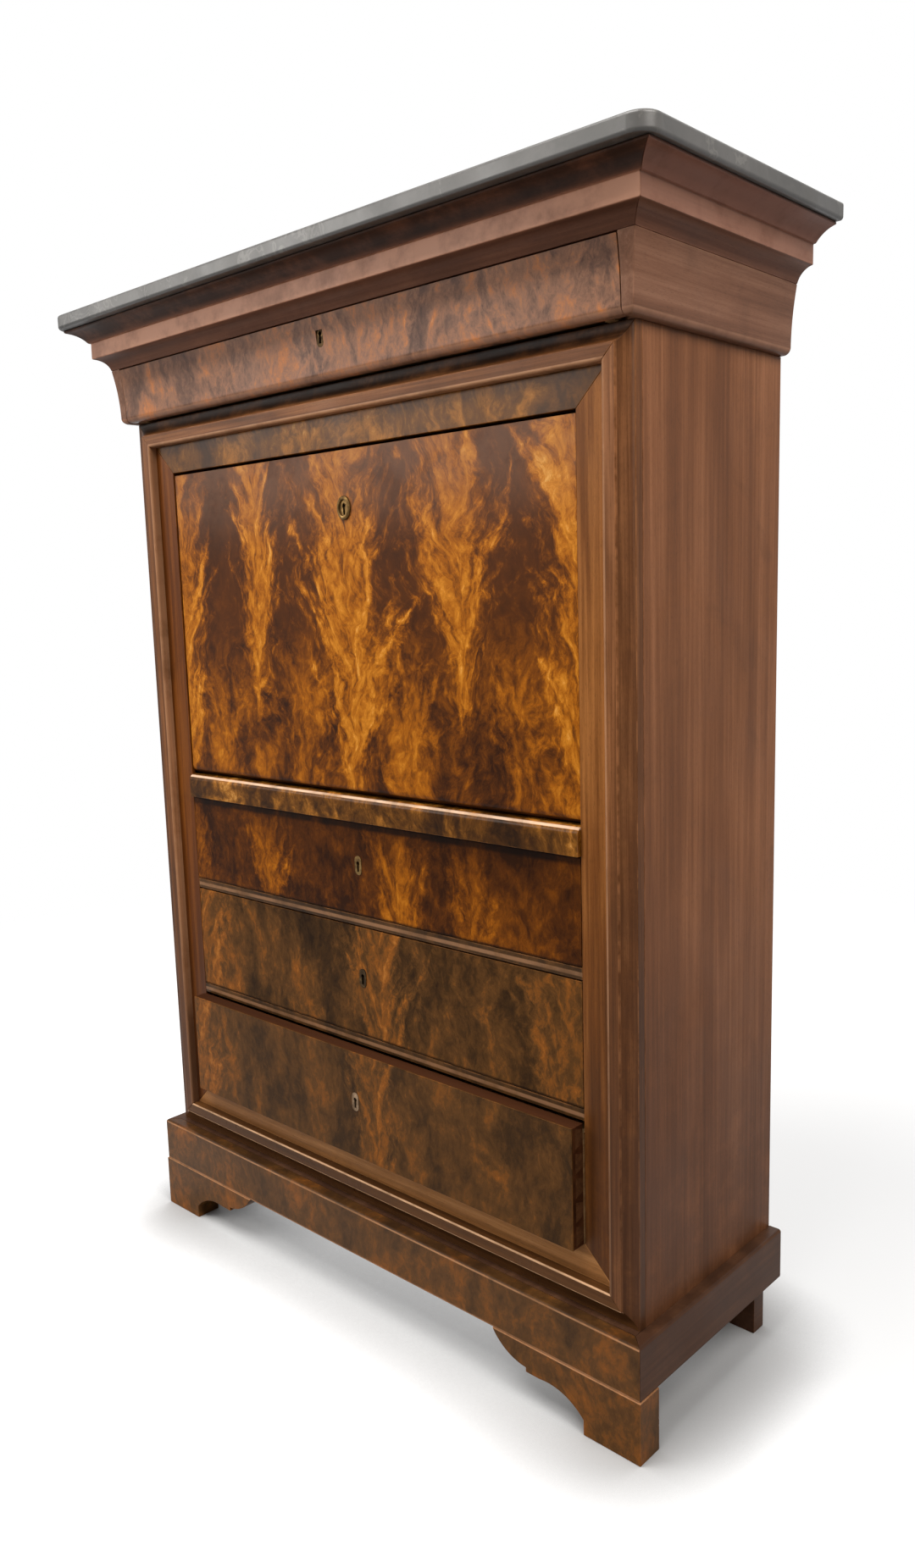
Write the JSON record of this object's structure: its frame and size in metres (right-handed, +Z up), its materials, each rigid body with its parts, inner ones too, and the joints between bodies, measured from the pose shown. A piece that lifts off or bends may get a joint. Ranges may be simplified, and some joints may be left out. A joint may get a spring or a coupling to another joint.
{
  "type": "escritoire",
  "caption": "Tall fall-front writing desk with a marble top, curved frieze drawer, framed flap, long drawers and a plinth on bracket feet.",
  "frame": {"origin": "on the floor under the middle of the overall outline", "axes": "+X to the right seen from the front, +Y towards the back, +Z up; the front faces -Y"},
  "size_m": [1.076, 0.404, 1.45],
  "materials": {
    "flame_mahogany": "polished veneer",
    "mahogany": "satin polish",
    "interior_wood": "satin polish",
    "plain_wood": "bare",
    "brass": "aged",
    "marble": "honed",
    "leather": "worn"
  },
  "bodies": {
    "carcase": {"cornice_front": "mahogany", "cornice_left": "mahogany", "cornice_right": "mahogany", "frieze_left": "mahogany", "frieze_right": "mahogany", "raised_strip_bottom": "mahogany", "raised_strip_top": "mahogany", "raised_strip_left": "mahogany", "raised_strip_right": "mahogany", "flat_frame_bottom": "mahogany", "flat_frame_top": "mahogany", "stile_left": "mahogany", "stile_right": "mahogany", "fall_rail": "mahogany", "plinth_front": "mahogany", "plinth_left": "mahogany", "plinth_right": "mahogany", "front_foot_left": "mahogany", "front_foot_right": "mahogany", "side_panel_left": "mahogany", "side_panel_right": "mahogany", "drawer_dividers": "mahogany", "nest_uprights": "interior_wood", "nest_shelves": "interior_wood", "writing_bed": "interior_wood", "back_boards": "plain_wood", "carcase_floor": "plain_wood", "upper_board": "plain_wood", "cornice_board": "plain_wood", "marble_bearers": "plain_wood", "base_rail": "plain_wood", "rear_feet": "plain_wood", "drawer_guides": "plain_wood", "pivot_plates_and_pins": "brass", "marble_top": "marble"},
    "fall": {"fall_front": "flame_mahogany", "writing_leather": "leather", "fall_lock": "brass", "fall_pivot_plates": "brass", "quadrant_stays": "brass"},
    "frieze_drawer": {"frieze_drawer_face": "flame_mahogany", "frieze_drawer_box": "plain_wood", "frieze_drawer_bottom": "plain_wood", "frieze_drawer_lock": "brass"},
    "upper_drawer": {"upper_drawer_face": "flame_mahogany", "upper_drawer_box": "plain_wood", "upper_drawer_bottom": "plain_wood", "upper_drawer_lock": "brass"},
    "middle_drawer": {"middle_drawer_face": "flame_mahogany", "middle_drawer_box": "plain_wood", "middle_drawer_bottom": "plain_wood", "middle_drawer_lock": "brass"},
    "lower_drawer": {"lower_drawer_face": "flame_mahogany", "lower_drawer_box": "plain_wood", "lower_drawer_bottom": "plain_wood", "lower_drawer_lock": "brass"},
    "small_drawer_left": {"small_drawer_left_face": "interior_wood", "small_drawer_left_box": "plain_wood"},
    "small_drawer_right": {"small_drawer_right_face": "interior_wood", "small_drawer_right_box": "plain_wood"}
  },
  "joints": [
    {"name": "fall_hinge", "type": "hinge", "parent": "carcase", "child": "fall", "pos_m": [0, -0.095, 0.761], "axis": [1, 0, 0], "range_deg": [0, 90]},
    {"name": "frieze_drawer_slide", "type": "slide", "parent": "carcase", "child": "frieze_drawer", "axis": [0, -1, 0], "range_m": [0, 0.2]},
    {"name": "upper_drawer_slide", "type": "slide", "parent": "carcase", "child": "upper_drawer", "axis": [0, -1, 0], "range_m": [0, 0.2]},
    {"name": "middle_drawer_slide", "type": "slide", "parent": "carcase", "child": "middle_drawer", "axis": [0, -1, 0], "range_m": [0, 0.2]},
    {"name": "lower_drawer_slide", "type": "slide", "parent": "carcase", "child": "lower_drawer", "axis": [0, -1, 0], "range_m": [-0.024, 0.176]},
    {"name": "small_drawer_left_slide", "type": "slide", "parent": "carcase", "child": "small_drawer_left", "axis": [0, -1, 0], "range_m": [0, 0.1]},
    {"name": "small_drawer_right_slide", "type": "slide", "parent": "carcase", "child": "small_drawer_right", "axis": [0, -1, 0], "range_m": [0, 0.1]}
  ]
}
